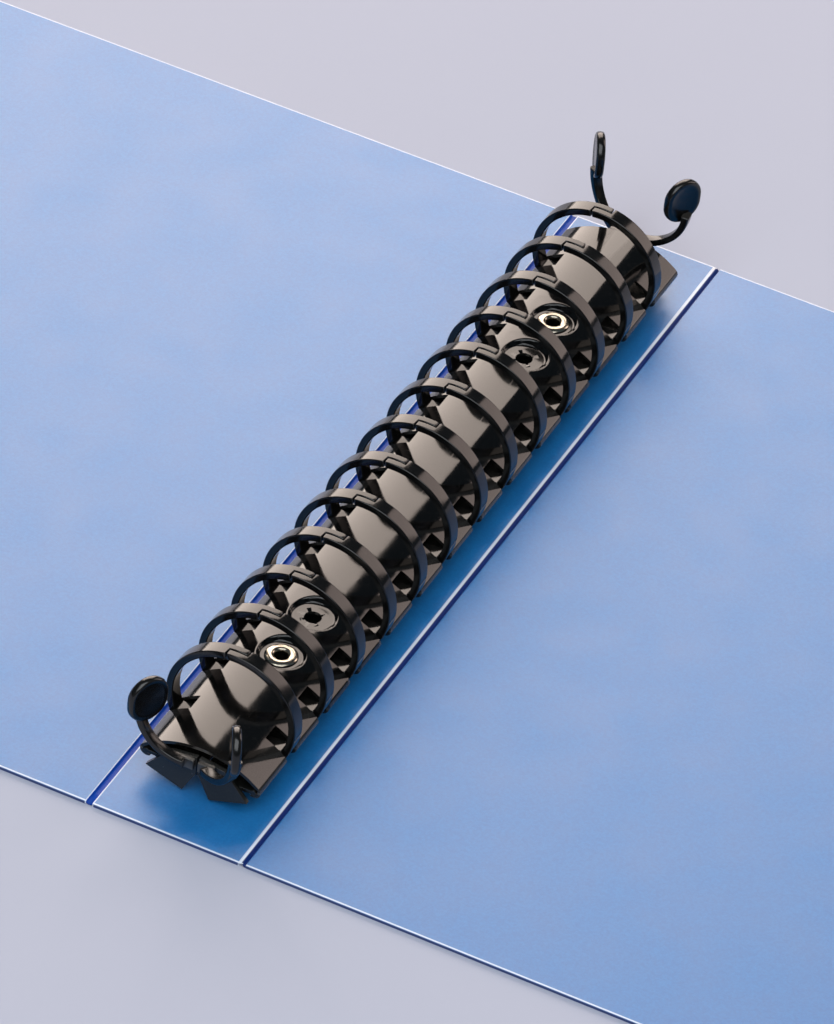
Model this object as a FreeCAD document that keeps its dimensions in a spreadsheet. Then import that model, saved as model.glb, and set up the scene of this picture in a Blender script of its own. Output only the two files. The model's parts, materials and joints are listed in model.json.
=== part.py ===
import FreeCAD, Part
import Sketcher
import os

# A ring file: three flat panels of one plastic sheet, joined at two pressed hinge grooves, with a
# multi-ring mechanism riveted to the middle panel. Everything is in millimetres.
# Frame: the origin is the centre of the spine panel's underside. +X points to the right cover,
# +Y to the rear end of the spine and +Z up. The file lies open and flat, with its rings closed.

# Driving dimensions: alias, value, meaning.
SIZES = (
    ("cover_sheet", 1.2, "thickness of the sheet that the covers and the spine panel are cut from"),
    ("cover_width", 238.0, "cover, from its hinge groove to its free edge"),
    ("cover_length", 303.0, "covers and spine panel along the spine"),
    ("cover_corner", 6.0, "corner radius at a cover's free edge"),
    ("cover_play", 0.45, "gap between an upright cover and the open mechanism"),
    ("groove_play", 0.4, "extra half width of a hinge groove, beyond half the sheet"),
    ("web_sheet", 0.4, "thickness of the sheet left in a hinge groove"),
    ("web_play", 0.1, "gap between a hinge web and the cover's edge"),
    ("ring_count", 13, "rings along the spine"),
    ("ring_pitch", 19.0, "distance between rings, two loose-leaf hole pitches"),
    ("ring_rise", 9.1, "centre of the rings above the pivots"),
    ("ring_strip", 2.2, "radial thickness of a ring"),
    ("ring_width", 4.6, "width of a ring along the spine"),
    ("tongue_reach", 2.5, "reach of a half ring's tongue past the middle"),
    ("tongue_gap", 0.3, "gap all round the interlocking tongues"),
    ("tongue_root", 10.0, "overlap of a tongue with the rest of its half ring, in degrees"),
    ("foot_reach", 5.8, "foot of a half ring on its carrier, from the pivot inwards"),
    ("foot_sheet", 1.6, "thickness of that foot"),
    ("opening_angle", 7.5, "turn of each carrier from closed to open, in degrees"),
    ("pivot_offset", 16.35, "carrier pivots, from the middle plane"),
    ("pivot_rise", 8.1, "carrier pivots above the spine panel"),
    ("bead_radius", 0.8, "rounded outer edge of a carrier, which is its pivot"),
    ("bead_clearance", 0.3, "gap round that edge inside the shield's lip"),
    ("plate_sheet", 1.2, "thickness of a carrier"),
    ("middle_gap", 0.3, "each carrier's inner edge, from the middle plane"),
    ("foot_notch", 1.6, "notch in a carrier's outer edge for a ring, inwards from the pivot"),
    ("foot_play", 0.1, "gap each side of a ring in that notch"),
    ("shield_sheet", 1.0, "thickness of the arched shield"),
    ("arch_radius", 28.0, "outer radius of the shield's arch"),
    ("lip_end", 120.0, "how far the shield's lips curl under, in degrees below level"),
    ("shield_overhang", 18.5, "shield past the middle of the last ring"),
    ("slot_depth", 4.85, "ring slot in the shield, inwards from the pivot"),
    ("slot_play", 0.7, "gap each side of a ring in its slot"),
    ("dimple_radius", 7.0, "outer radius of a pressed dimple in the shield"),
    ("dimple_depth", 1.8, "depth of a dimple's floor below the crest"),
    ("spare_hole_radius", 2.5, "hole in an unused dimple"),
    ("rivet_inset", 1.5, "rivets, in ring pitches inwards from the last ring"),
    ("rivet_radius", 3.0, "outer radius of a tubular rivet"),
    ("rivet_bore", 2.0, "inner radius of a tubular rivet"),
    ("rivet_head_radius", 4.8, "radius of a rivet's two heads"),
    ("rivet_head_sheet", 0.8, "thickness of a rivet's upper head"),
    ("rivet_foot_sheet", 0.5, "thickness of a rivet's lower head"),
    ("rivet_play", 0.05, "gap round a rivet's shank"),
    ("rivet_recess_play", 0.3, "gap round a rivet's lower head in the spine panel"),
    ("rivet_recess_depth", 0.1, "lower head of a rivet, inside the underside of the spine panel"),
    ("spacer_wall", 1.0, "wall of the tube that stands round a rivet, under the shield"),
    ("spacer_play", 0.8, "gap between that tube and the carriers"),
    ("wing_gap", 0.5, "end wing of a carrier, past the end of the shield"),
    ("wing_sheet", 1.5, "thickness of an end wing"),
    ("wing_inset", 0.05, "end wing, back from its carrier's inner edge"),
    ("wing_low_offset", 4.1, "lowest corner of a wing, from the middle plane"),
    ("wing_clearance", 0.8, "lowest corner of a wing above the spine panel"),
    ("wing_outer_clearance", 4.7, "outer corner of a wing above the spine panel"),
    ("wing_shoulder_offset", 8.3, "shoulder of a wing, from the middle plane"),
    ("wing_shoulder_rise", 4.8, "shoulder of a wing above the pivots"),
    ("wing_top_rise", 5.9, "inner top corner of a wing above the pivots"),
    ("ear_foot_sheet", 1.6, "thickness of an ear's foot on the wing"),
    ("ear_foot_inset", 0.3, "ear's foot, back from the middle gap"),
    ("ear_foot_rise", 2.4, "ear's foot above the pivots"),
    ("ear_foot_width", 5.0, "width of an ear's foot"),
    ("ear_foot_height", 3.4, "height of an ear's foot"),
    ("ear_arm_radius", 14.0, "bend of an ear's arm along its middle"),
    ("ear_arm_strip", 2.4, "thickness of an ear's arm"),
    ("ear_arm_width", 3.4, "width of an ear's arm"),
    ("ear_arm_turn", 4.0, "direction of a short ear's arm, in degrees from the cross direction"),
    ("ear_arm_swing", 27.0, "how much more a long ear's arm turns outwards, in degrees"),
    ("tab_offset", 15.0, "middle of an ear's finger tab, from the middle plane"),
    ("tab_rise", 22.9, "middle of a finger tab above the pivots"),
    ("tab_overhang", 5.0, "middle of a short ear's tab, past the end of the shield"),
    ("tab_stagger", 6.3, "how much further out a long ear's tab is"),
    ("tab_radius", 6.2, "half width of a finger tab"),
    ("tab_straight", 2.0, "straight part of a finger tab's height"),
    ("tab_sheet", 2.6, "thickness of a finger tab"),
    ("tab_turn", 61.6, "direction of a tab's width, in degrees from the cross direction"),
)

# Sizes that follow from them: alias, formula, meaning.
DERIVED = (
    ("groove_half", "Sizes.cover_sheet / 2 + Sizes.groove_play", "half width of a hinge groove"),
    ("pivot_height", "Sizes.cover_sheet + Sizes.pivot_rise", "pivots above the underside"),
    ("tilt", "Sizes.opening_angle / 2", "slope of a closed carrier, down to the middle"),
    ("lip_inner", "Sizes.bead_radius + Sizes.bead_clearance", "inner radius of a lip"),
    ("lip_outer", "lip_inner + Sizes.shield_sheet", "outer radius of a lip"),
    ("lip_ray", "Sizes.arch_radius - lip_outer", "arch centre to lip centre"),
    ("lip_angle", "acos(Sizes.pivot_offset / lip_ray) / 1deg", "seam of arch and lip above level"),
    ("arch_centre", "pivot_height - sqrt(lip_ray ^ 2 - Sizes.pivot_offset ^ 2)", "arch centre height"),
    ("crest", "arch_centre + Sizes.arch_radius", "top of the shield"),
    ("half_length", "(Sizes.ring_count - 1) / 2 * Sizes.ring_pitch + Sizes.shield_overhang",
     "half the shield's length"),
    ("dimple_floor", "crest - Sizes.dimple_depth", "top of a dimple's floor"),
    ("ring_middle", "sqrt(Sizes.pivot_offset ^ 2 + Sizes.ring_rise ^ 2)", "ring radius, mid strip"),
    ("ring_outer", "ring_middle + Sizes.ring_strip / 2", "outer radius of a ring"),
    ("ring_inner", "ring_middle - Sizes.ring_strip / 2", "inner radius of a ring"),
    ("ring_centre", "pivot_height + Sizes.ring_rise", "centre of the rings above the underside"),
    ("foot_angle", "atan(Sizes.ring_rise / Sizes.pivot_offset) / 1deg", "end of a ring below level"),
    ("tongue_angle", "asin(Sizes.tongue_reach / ring_middle) / 1deg", "reach of a tongue, as an angle"),
    ("body_angle", "tongue_angle + asin(Sizes.tongue_gap / ring_middle) / 1deg",
     "end of a ring's full width, from the top"),
    ("spacer_radius", "Sizes.rivet_radius + Sizes.rivet_play + Sizes.spacer_wall",
     "outer radius of a rivet's spacer"),
    ("rivet_place", "((Sizes.ring_count - 1) / 2 - Sizes.rivet_inset) * Sizes.ring_pitch",
     "rivets, between two rings"),
    ("spare_place", "rivet_place - Sizes.ring_pitch", "unused dimples, one ring further in"),
    ("wing_place", "half_length + Sizes.wing_gap", "inner face of an end wing"),
    ("ear_place", "wing_place + Sizes.wing_sheet", "inner face of an ear's foot"),
    ("wing_inner", "Sizes.middle_gap + Sizes.wing_inset", "inner edge of a wing"),
    ("ring_reach", "ring_outer + Sizes.pivot_offset * (1 - cos(Sizes.opening_angle))"
     " + Sizes.ring_rise * sin(Sizes.opening_angle)", "an open ring, from the middle plane"),
    ("tab_slant", "sqrt((cos(Sizes.tab_turn) * cos(Sizes.opening_angle)) ^ 2"
     " + sin(Sizes.opening_angle) ^ 2)", "share of a tab's half width that counts sideways"),
    ("tab_reach", "Sizes.pivot_offset + (Sizes.tab_offset - Sizes.pivot_offset)"
     " * cos(Sizes.opening_angle) + (Sizes.tab_rise + Sizes.tab_straight / 2)"
     " * sin(Sizes.opening_angle) + Sizes.tab_radius * tab_slant + Sizes.tab_sheet / 2"
     " * sin(Sizes.tab_turn)", "an open finger tab, from the middle plane"),
    ("hinge_place", "max(ring_reach; tab_reach) + Sizes.cover_play + Sizes.cover_sheet / 2",
     "hinge lines, from the middle plane"),
    ("spine_half", "hinge_place - groove_half", "half width of the spine panel"),
)

SIDES = {"left": -1, "right": 1}
ENDS = {"front": -1, "rear": 1}
UP = FreeCAD.Vector(0, 0, 1)
ALONG_Y = FreeCAD.Rotation(FreeCAD.Vector(1, 0, 0), -90)
BEYOND = 40.0  # cutting tools reach at least this far past the metal
NEAR = 0.01  # lengths closer than this are the same

doc = FreeCAD.newDocument("RingFile")
nodes = []


def write_sheet(name, rows, formula):
    """Fill one spreadsheet: names in column A, values or formulas in B, meanings in C."""
    sheet = doc.addObject("Spreadsheet::Sheet", name)
    for row, (alias, value, meaning) in enumerate(rows, start=1):
        sheet.set(f"A{row}", alias)
        sheet.set(f"B{row}", f"={value}" if formula else str(value))
        sheet.setAlias(f"B{row}", alias)
        sheet.set(f"C{row}", meaning)
    doc.recompute()
    return sheet


sizes = write_sheet("Sizes", SIZES, False)
derived = write_sheet("Derived", DERIVED, True)


def value(expression):
    """The number that an expression in the two sheets has now."""
    result = derived.evalExpression(expression)
    return float(getattr(result, "Value", result))


def bind(item, **expressions):
    """Bind properties to expressions. A name's double underscore stands for a dot."""
    for name, expression in expressions.items():
        item.setExpression(name.replace("__", "."), expression)
    return item


def place(item, across="0", along="0", height="0"):
    """Bind an object's position to three expressions."""
    return bind(item, Placement__Base__x=across, Placement__Base__y=along, Placement__Base__z=height)


def box(name, length, width, height, across, along, base):
    """A box by its sizes along X, Y and Z and its lowest corner, all as expressions."""
    item = bind(doc.addObject("Part::Box", name), Length=length, Width=width, Height=height)
    return place(item, across, along, base)


def post(name, radius, height, across, along, base):
    """An upright cylinder."""
    item = bind(doc.addObject("Part::Cylinder", name), Radius=radius, Height=height)
    return place(item, across, along, base)


def boolean(kind, name, base, tool):
    """A Part::Cut or Part::Common of two objects."""
    item = doc.addObject(kind, name)
    item.Base = base
    item.Tool = tool
    return item


def fuse(name, shapes):
    """One solid out of several objects."""
    item = doc.addObject("Part::MultiFuse", name)
    item.Shapes = shapes
    item.Refine = True
    return item


def rod(name, radius, length, across, along, height, start="0", end="360", turn=0.0):
    """A sector of a cylinder along Y, from angle start to angle end above +X, seen from the front.
    along is its front end. turn swings the whole of it about the vertical line at (across, along),
    and a turned rod is centred there instead."""
    item = bind(doc.addObject("Part::Cylinder", name), Radius=radius, Height=length)
    item.setExpression("Angle", f"({end}) - ({start})")
    swing = FreeCAD.Rotation(UP, turn)
    item.Placement.Rotation = swing * ALONG_Y * FreeCAD.Rotation(UP, -value(end))
    if turn:
        back = swing * FreeCAD.Vector(0, -1, 0)
        across = f"{across} + ({back.x}) * {length} / 2"
        along = f"{along} + ({back.y}) * {length} / 2"
    return place(item, across, along, height)


def finish(item, label):
    """Give a finished sub-part its name and list it."""
    item.Label = label
    nodes.append(item)
    return item


def origin_plane(body, role):
    """A body's own origin plane."""
    return next(item for item in body.Origin.OriginFeatures if item.Role == role)


def sketch_on(body, role, name):
    """A new sketch on one of a body's origin planes."""
    sketch = body.newObject("Sketcher::SketchObject", name)
    sketch.AttachmentSupport = [(origin_plane(body, role), "")]
    sketch.MapMode = "FlatFace"
    return sketch


def outline(sketch, corners):
    """Draw a closed outline through corners, each bound to a pair of expressions."""
    points = [FreeCAD.Vector(value(x), value(y), 0) for x, y in corners]
    count = len(points)
    for index in range(count):
        sketch.addGeometry(Part.LineSegment(points[index], points[(index + 1) % count]), False)
    for index in range(count):
        sketch.addConstraint(Sketcher.Constraint("Coincident", index, 2, (index + 1) % count, 1))
    for index, pair in enumerate(corners):
        for kind, number, expression in zip(("DistanceX", "DistanceY"), points[index], pair):
            which = sketch.addConstraint(Sketcher.Constraint(kind, -1, 1, index, 1, number))
            sketch.setExpression(f"Constraints[{which}]", expression)


def circle(sketch, radius, across, along):
    """Draw a circle bound to expressions."""
    centre = FreeCAD.Vector(value(across), value(along), 0)
    which = sketch.addGeometry(Part.Circle(centre, UP, value(radius)), False)
    for constraint, expression in (
        (Sketcher.Constraint("Radius", which, value(radius)), radius),
        (Sketcher.Constraint("DistanceX", -1, 1, which, 3, centre.x), across),
        (Sketcher.Constraint("DistanceY", -1, 1, which, 3, centre.y), along),
    ):
        index = sketch.addConstraint(constraint)
        sketch.setExpression(f"Constraints[{index}]", expression)


def build_panel(side, sign):
    """A cover: a flat sheet with two rounded corners at its free edge."""
    body = doc.addObject("PartDesign::Body", f"{side}_cover_body")
    near = f"{sign} * (Derived.hinge_place + Derived.groove_half)"
    far = f"{sign} * (Derived.hinge_place + Sizes.cover_width)"
    half = "Sizes.cover_length / 2"
    sketch = sketch_on(body, "XY_Plane", f"{side}_cover_outline")
    outline(sketch, [(near, f"-{half}"), (far, f"-{half}"), (far, half), (near, half)])
    pad = body.newObject("PartDesign::Pad", f"{side}_cover_sheet")
    pad.Profile = sketch
    bind(pad, Length="Sizes.cover_sheet")
    doc.recompute()
    edges = [
        f"Edge{number}"
        for number, edge in enumerate(pad.Shape.Edges, start=1)
        if all(abs(end.X - value(far)) < NEAR for end in edge.Vertexes)
        and edge.BoundBox.YLength < NEAR
    ]
    corners = body.newObject("PartDesign::Fillet", f"{side}_cover_corners")
    corners.Base = (pad, edges)
    bind(corners, Radius="Sizes.cover_corner")
    return finish(body, f"{side}_cover")


def build_spine():
    """The middle panel, with two rivet holes that are recessed underneath for the rivets' feet."""
    body = doc.addObject("PartDesign::Body", "spine_body")
    half = "Sizes.cover_length / 2"
    edge = "Derived.spine_half"
    sketch = sketch_on(body, "XY_Plane", "spine_outline")
    outline(sketch, [(f"-{edge}", f"-{half}"), (edge, f"-{half}"), (edge, half), (f"-{edge}", half)])
    pad = body.newObject("PartDesign::Pad", "spine_sheet")
    pad.Profile = sketch
    bind(pad, Length="Sizes.cover_sheet")
    for name, radius, depth in (
        ("spine_holes", "Sizes.rivet_radius + Sizes.rivet_play", "Sizes.cover_sheet"),
        ("spine_recesses", "Sizes.rivet_head_radius + Sizes.rivet_recess_play",
         "Sizes.rivet_foot_sheet + Sizes.rivet_recess_depth"),
    ):
        holes = sketch_on(body, "XY_Plane", f"{name}_outline")
        for sign in ENDS.values():
            circle(holes, radius, "0", f"{sign} * Derived.rivet_place")
        pocket = body.newObject("PartDesign::Pocket", name)
        pocket.Profile = holes
        pocket.Reversed = True
        bind(pocket, Length=depth)
    return finish(body, "spine_panel")


def build_web(side, sign):
    """The thin strip of sheet left in a hinge groove, at mid thickness."""
    half = "(Derived.groove_half - Sizes.web_play)"
    left = "Derived.spine_half" if sign > 0 else f"-Derived.hinge_place - {half}"
    web = box(
        f"{side}_web", f"Derived.groove_half + {half}", "Sizes.cover_length", "Sizes.web_sheet",
        left, "-Sizes.cover_length / 2", "(Sizes.cover_sheet - Sizes.web_sheet) / 2",
    )
    return finish(web, f"{side}_hinge_web")


def shield_tool(name, radius):
    """A rod along the whole shield, round the centre of its arch."""
    return rod(name, radius, "2 * Derived.half_length", "0", "-Derived.half_length",
               "Derived.arch_centre")


def build_shield():
    """The arched steel cover: its lips hold the carriers, and every ring has a slot each side."""
    span = ("Derived.lip_angle", "180 - Derived.lip_angle")
    along = "-Derived.half_length"
    length = "2 * Derived.half_length"
    arch = rod("arch", "Sizes.arch_radius", length, "0", along, "Derived.arch_centre", *span)
    curls = [
        rod("right_curl", "Derived.lip_outer", length, "Sizes.pivot_offset", along,
            "Derived.pivot_height", "-Sizes.lip_end", "Derived.lip_angle"),
        rod("left_curl", "Derived.lip_outer", length, "-Sizes.pivot_offset", along,
            "Derived.pivot_height", "180 - Derived.lip_angle", "180 + Sizes.lip_end"),
    ]
    arch_hollow = shield_tool("arch_hollow", "Sizes.arch_radius - Sizes.shield_sheet")
    arch_sheet = boolean("Part::Cut", "arch_sheet", arch, arch_hollow)
    lips = []
    for curl, sign in zip(curls, (1, -1)):
        hollow = rod(f"{curl.Name}_hollow", "Derived.lip_inner", length,
                     f"{sign} * Sizes.pivot_offset", along, "Derived.pivot_height")
        lips.append(boolean("Part::Cut", f"{curl.Name}_sheet", curl, hollow))
    places = {"rivet": "Derived.rivet_place", "spare": "Derived.spare_place"}
    holes = {"rivet": "Sizes.rivet_radius + Sizes.rivet_play", "spare": "Sizes.spare_hole_radius"}
    cups = []
    wells = []
    for kind, distance in places.items():
        for end, sign in ENDS.items():
            spot = ("0", f"{sign} * ({distance})")
            cups.append(post(f"{end}_{kind}_cup", "Sizes.dimple_radius",
                             "Sizes.dimple_depth + Sizes.shield_sheet", *spot,
                             "Derived.dimple_floor - Sizes.shield_sheet"))
            wells.append(post(f"{end}_{kind}_well", "Sizes.dimple_radius - Sizes.shield_sheet",
                              str(BEYOND), *spot, "Derived.dimple_floor"))
            wells.append(post(f"{end}_{kind}_hole", holes[kind], str(BEYOND), *spot,
                              "Sizes.cover_sheet"))
    dimples = boolean("Part::Common", "dimples", fuse("cups", cups),
                      shield_tool("arch_envelope", "Sizes.arch_radius"))
    slots = []
    reach = f"Sizes.slot_depth + {BEYOND}"
    width = "(Sizes.ring_width + 2 * Sizes.slot_play)"
    for number, along_ring in ring_places():
        for side, sign in SIDES.items():
            inner = "Sizes.pivot_offset - Sizes.slot_depth"
            left = inner if sign > 0 else f"-({inner}) - ({reach})"
            slots.append(box(f"{side}_slot_{number:02d}", reach, width, str(BEYOND), left,
                             f"{along_ring} - {width} / 2", "0"))
    metal = fuse("shield_metal", [arch_sheet, *lips, dimples])
    shield = boolean("Part::Cut", "shield_body", metal, fuse("shield_openings", wells + slots))
    return finish(shield, "shield")


def ring_places():
    """Each ring's number and its place along the spine, as an expression."""
    count = int(value("Sizes.ring_count"))
    return [
        (number, f"({number} - (Sizes.ring_count + 1) / 2) * Sizes.ring_pitch")
        for number in range(1, count + 1)
    ]


def plate_box(name, sign, inner, length, along, width, above, height):
    """A box laid along a carrier, which slopes down to the middle: inner is its inner end's
    distance from the pivot, and above is its underside's distance from the carrier's middle plane."""
    item = bind(doc.addObject("Part::Box", name), Length=length, Width=width, Height=height)
    item.Placement.Rotation = FreeCAD.Rotation(FreeCAD.Vector(0, 1, 0), -sign * value("Derived.tilt"))
    low = f"(-({inner}))" if sign > 0 else f"(({inner}) - ({length}))"
    lean = f"{sign} * sin(Derived.tilt)"
    return place(
        item,
        f"{sign} * Sizes.pivot_offset + {low} * cos(Derived.tilt) - ({above}) * ({lean})",
        along,
        f"Derived.pivot_height + {low} * ({lean}) + ({above}) * cos(Derived.tilt)",
    )


def build_wing(side, end, sign, way):
    """An end wing: the carrier's end, folded into an upright plate with a slanting lower edge."""
    body = doc.addObject("PartDesign::Body", f"{side}_{end}_wing")
    corners = (
        ("Derived.wing_inner", "Derived.pivot_height + Sizes.wing_top_rise"),
        ("Derived.wing_inner", "Derived.pivot_height"),
        ("Sizes.wing_low_offset", "Sizes.cover_sheet + Sizes.wing_clearance"),
        ("Sizes.pivot_offset - Sizes.bead_radius", "Sizes.cover_sheet + Sizes.wing_outer_clearance"),
        ("Sizes.wing_shoulder_offset", "Derived.pivot_height + Sizes.wing_shoulder_rise"),
    )
    sketch = sketch_on(body, "XZ_Plane", f"{side}_{end}_wing_outline")
    outline(sketch, [(f"{sign} * ({across})", height) for across, height in corners])
    pad = body.newObject("PartDesign::Pad", f"{side}_{end}_wing_sheet")
    pad.Profile = sketch
    bind(pad, Length="Sizes.wing_sheet")
    face = "Derived.wing_place + Sizes.wing_sheet" if way > 0 else "-Derived.wing_place"
    return place(body, along=face)


def build_carrier(side, sign):
    """One half of the toggle: a long plate that pivots on its rounded outer edge, in a lip."""
    along = "-Derived.wing_place"
    length = "2 * Derived.wing_place"
    plate = plate_box(f"{side}_plate", sign, "Sizes.pivot_offset - Sizes.middle_gap",
                      "Sizes.pivot_offset - Sizes.middle_gap", along, length,
                      "-Sizes.plate_sheet / 2", "Sizes.plate_sheet")
    bead = rod(f"{side}_bead", "Sizes.bead_radius", length, f"{sign} * Sizes.pivot_offset", along,
               "Derived.pivot_height")
    wings = [build_wing(side, end, sign, way) for end, way in ENDS.items()]
    width = "(Sizes.ring_width + 2 * Sizes.foot_play)"
    cuts = [
        plate_box(f"{side}_notch_{number:02d}", sign, "Sizes.foot_notch",
                  "Sizes.foot_notch + 2 * Sizes.bead_radius", f"{ring} - {width} / 2", width,
                  "-2 * Sizes.bead_radius", "4 * Sizes.bead_radius")
        for number, ring in ring_places()
    ]
    for end, way in ENDS.items():
        cuts.append(post(f"{side}_{end}_bay", "Derived.spacer_radius + Sizes.spacer_play",
                         str(BEYOND), "0", f"{way} * Derived.rivet_place", "0"))
    metal = fuse(f"{side}_carrier_metal", [plate, bead, *wings])
    carrier = boolean("Part::Cut", f"{side}_carrier_body", metal, fuse(f"{side}_carrier_cuts", cuts))
    return finish(carrier, f"{side}_carrier")


def build_half_ring(side, sign, number, ring):
    """Half a ring: a flat strip bent to an arc, with a foot on its carrier and, at the top, a
    tongue of half its width that lies beside the other half's."""
    name = f"{side}_ring_{number:02d}"

    def arc(part, radius, width, along, start, end):
        """A piece of the ring's arc, by angles from level on this side of the ring."""
        angles = (start, end) if sign > 0 else (f"180 - ({end})", f"180 - ({start})")
        return rod(f"{name}_{part}", radius, width, "0", along, "Derived.ring_centre", *angles)

    front = f"{ring} - Sizes.ring_width / 2"
    half = "(Sizes.ring_width - Sizes.tongue_gap) / 2"
    tongue_front = front if sign > 0 else f"{ring} + Sizes.tongue_gap / 2"
    strip = arc("strip", "Derived.ring_outer", "Sizes.ring_width", front, "-Derived.foot_angle",
                "90 - Derived.body_angle")
    tongue = arc("tongue", "Derived.ring_outer", half, tongue_front,
                 "90 - Derived.body_angle - Sizes.tongue_root", "90 + Derived.tongue_angle")
    hollow = rod(f"{name}_hollow", "Derived.ring_inner", "Sizes.ring_width", "0", front,
                 "Derived.ring_centre")
    foot = plate_box(f"{name}_foot", sign, "Sizes.foot_reach", "Sizes.foot_reach", front,
                     "Sizes.ring_width", "Sizes.plate_sheet / 2", "Sizes.foot_sheet")
    bent = boolean("Part::Cut", f"{name}_arc", fuse(f"{name}_blank", [strip, tongue]), hollow)
    return finish(fuse(f"{name}_body", [bent, foot]), f"{side}_ring_half_{number:02d}")


def build_ear(side, end, sign, way):
    """A lever for the fingers: a foot on the carrier's end wing, a bent arm and an upright tab.
    The left front and right rear ears are short, and the other two long."""
    name = f"{side}_{end}_ear"
    is_short = sign == way
    arm_turn = value("Sizes.ear_arm_turn" if is_short else "Sizes.ear_arm_turn + Sizes.ear_arm_swing")
    overhang = "Sizes.tab_overhang" if is_short else "Sizes.tab_overhang + Sizes.tab_stagger"
    height = "Derived.pivot_height + Sizes.ear_foot_rise"
    inner = "Sizes.middle_gap + Sizes.ear_foot_inset"
    left = inner if sign > 0 else f"-({inner}) - Sizes.ear_foot_width"
    front = "Derived.ear_place" if way > 0 else "-Derived.ear_place - Sizes.ear_foot_sheet"
    foot = box(f"{name}_foot", "Sizes.ear_foot_width", "Sizes.ear_foot_sheet",
               "Sizes.ear_foot_height", left, front, height)
    turn = turned(sign, way, arm_turn)
    level = f"{height} + Sizes.ear_foot_height - Sizes.ear_arm_strip / 2"
    spot = (
        f"{sign} * ({inner} + Sizes.ear_foot_width / 2)",
        f"{way} * (Derived.ear_place + Sizes.ear_arm_width / 2)",
        f"{level} + Sizes.ear_arm_radius",
    )
    outer = rod(f"{name}_bend", "Sizes.ear_arm_radius + Sizes.ear_arm_strip / 2",
                "Sizes.ear_arm_width", *spot, "-90", "0", turn)
    hollow = rod(f"{name}_bend_hollow", "Sizes.ear_arm_radius - Sizes.ear_arm_strip / 2",
                 "2 * Sizes.ear_arm_width", *spot, "-180", "180", turn)
    arm = boolean("Part::Cut", f"{name}_arm", outer, hollow)
    turn = turned(sign, way, value("Sizes.tab_turn"))
    middle = (
        f"{sign} * Sizes.tab_offset",
        f"{way} * (Derived.half_length + {overhang})",
    )
    rise = "Derived.pivot_height + Sizes.tab_rise"
    rounds = [
        rod(f"{name}_{part}", "Sizes.tab_radius", "Sizes.tab_sheet", *middle,
            f"{rise} {sense} Sizes.tab_straight / 2", "0", "360", turn)
        for part, sense in (("crown", "+"), ("heel", "-"))
    ]
    flat = bind(doc.addObject("Part::Box", f"{name}_flat"), Length="2 * Sizes.tab_radius",
                Width="Sizes.tab_sheet", Height="Sizes.tab_straight")
    flat.Placement.Rotation = FreeCAD.Rotation(UP, turn)
    corner = flat.Placement.Rotation.multVec(FreeCAD.Vector(1, 0, 0))
    place(flat,
          f"{middle[0]} - ({corner.x}) * Sizes.tab_radius + ({corner.y}) * Sizes.tab_sheet / 2",
          f"{middle[1]} - ({corner.y}) * Sizes.tab_radius - ({corner.x}) * Sizes.tab_sheet / 2",
          f"{rise} - Sizes.tab_straight / 2")
    return finish(fuse(f"{name}_body", [foot, arm, flat, *rounds]), name)


def turned(sign, way, angle):
    """A direction in degrees from +X, for one of the four corners of the mechanism."""
    return way * (angle if sign > 0 else 180 - angle)


def build_rivet(end, way):
    """A tubular rivet: it holds the shield's dimple, the spacer below it and the spine panel."""
    spot = ("0", f"{way} * Derived.rivet_place")
    low = "Sizes.rivet_recess_depth"
    shank = post(f"{end}_shank", "Sizes.rivet_radius", f"Derived.dimple_floor - {low}", *spot, low)
    head = post(f"{end}_head", "Sizes.rivet_head_radius", "Sizes.rivet_head_sheet", *spot,
                "Derived.dimple_floor")
    sole = post(f"{end}_sole", "Sizes.rivet_head_radius", "Sizes.rivet_foot_sheet", *spot, low)
    bore = post(f"{end}_bore", "Sizes.rivet_bore", str(BEYOND), *spot, "0")
    metal = fuse(f"{end}_rivet_metal", [shank, head, sole])
    finish(boolean("Part::Cut", f"{end}_rivet_body", metal, bore), f"{end}_rivet")
    top = "Derived.dimple_floor - Sizes.shield_sheet - Sizes.cover_sheet"
    tube = post(f"{end}_spacer_tube", "Derived.spacer_radius", top, *spot, "Sizes.cover_sheet")
    inside = post(f"{end}_spacer_bore", "Sizes.rivet_radius + Sizes.rivet_play", str(BEYOND),
                  *spot, "0")
    return finish(boolean("Part::Cut", f"{end}_spacer_body", tube, inside), f"{end}_rivet_spacer")


def check():
    """Stop if any object failed, or if a sub-part isn't one valid solid or more."""
    doc.recompute()
    for item in doc.Objects:
        if "Invalid" in item.State or "Error" in item.State:
            raise RuntimeError(f"{item.Label} failed: {item.State}")
    for item in nodes:
        if item.Shape.isNull() or not item.Shape.isValid() or not item.Shape.Solids:
            raise RuntimeError(f"{item.Label} has no valid solid")


def main():
    build_spine()
    build_shield()
    for side, sign in SIDES.items():
        build_panel(side, sign)
        build_web(side, sign)
        build_carrier(side, sign)
        for number, ring in ring_places():
            build_half_ring(side, sign, number, ring)
        for end, way in ENDS.items():
            build_ear(side, end, sign, way)
    for end, way in ENDS.items():
        build_rivet(end, way)
    check()
    os.makedirs("parts", exist_ok=True)
    for item in nodes:
        item.Shape.exportStep(f"parts/{item.Label}.step")
        print(item.Label, len(item.Shape.Solids), round(item.Shape.Volume, 1))


main()
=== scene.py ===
import json
import math

import bmesh
import bpy
from mathutils import Matrix, Vector


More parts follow.
